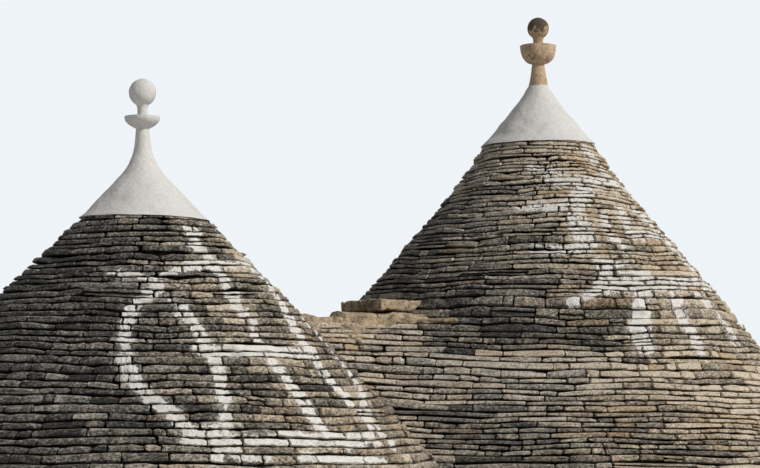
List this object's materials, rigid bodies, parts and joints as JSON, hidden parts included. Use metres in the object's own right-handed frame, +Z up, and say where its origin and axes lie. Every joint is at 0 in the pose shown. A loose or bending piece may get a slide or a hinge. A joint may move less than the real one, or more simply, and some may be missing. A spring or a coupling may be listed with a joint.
{
  "type": "trullo house",
  "caption": "Dry-stone trullo house: round limewashed rooms under corbelled cone roofs of grey slabs, joined by a saddle, with plaster caps and stone pinnacles.",
  "frame": {"origin": "on the ground, under the middle of the house's outer size", "axes": "+Z up, +X from the small room's axis to the tall room's, the door faces -Y"},
  "size_m": [10.04, 6.28, 6.6625],
  "materials": {
    "limewashed_wall": "matte",
    "dressed_stone": "matte",
    "dome_stone": "matte",
    "floor_stone": "satin",
    "roof_slabs": "matte",
    "saddle_slabs": "matte",
    "rubble": "matte",
    "whitewashed_plaster": "matte",
    "bare_pinnacle_stone": "matte",
    "window_wood": "matte",
    "window_glass": "gloss"
  },
  "bodies": {
    "root": {"small_front_wall": "limewashed_wall", "small_corner_wall": "limewashed_wall", "small_back_wall": "limewashed_wall", "small_front_window_walls": "limewashed_wall", "small_end_window_walls": "limewashed_wall", "tall_front_wall": "limewashed_wall", "tall_front_corner_wall": "limewashed_wall", "tall_back_corner_wall": "limewashed_wall", "tall_back_wall": "limewashed_wall", "tall_back_window_walls": "limewashed_wall", "door_head_wall": "limewashed_wall", "shared_front_wall": "limewashed_wall", "shared_back_wall": "limewashed_wall", "passage_head_wall": "limewashed_wall", "door_arch": "dressed_stone", "door_threshold": "dressed_stone", "passage_arch": "dressed_stone", "window_lintels": "dressed_stone", "window_sills": "dressed_stone", "small_lower_dome": "dome_stone", "small_upper_dome": "dome_stone", "tall_lower_dome": "dome_stone", "tall_upper_dome": "dome_stone", "small_floor": "floor_stone", "tall_floor": "floor_stone", "passage_floor": "floor_stone", "small_roof_cover": "roof_slabs", "tall_roof_cover": "roof_slabs", "saddle_front_cover": "roof_slabs", "saddle_back_cover": "roof_slabs", "small_eaves": "roof_slabs", "tall_eaves": "roof_slabs", "saddle_paving": "saddle_slabs", "saddle_ledge": "saddle_slabs", "saddle_fill": "rubble", "small_cap": "whitewashed_plaster", "small_stem": "whitewashed_plaster", "small_disc": "whitewashed_plaster", "small_ball": "whitewashed_plaster", "tall_cap": "whitewashed_plaster", "tall_stem": "bare_pinnacle_stone", "tall_bowl": "bare_pinnacle_stone", "tall_ball": "bare_pinnacle_stone", "window_frames": "window_wood", "window_panes": "window_glass"}
  },
  "joints": []
}
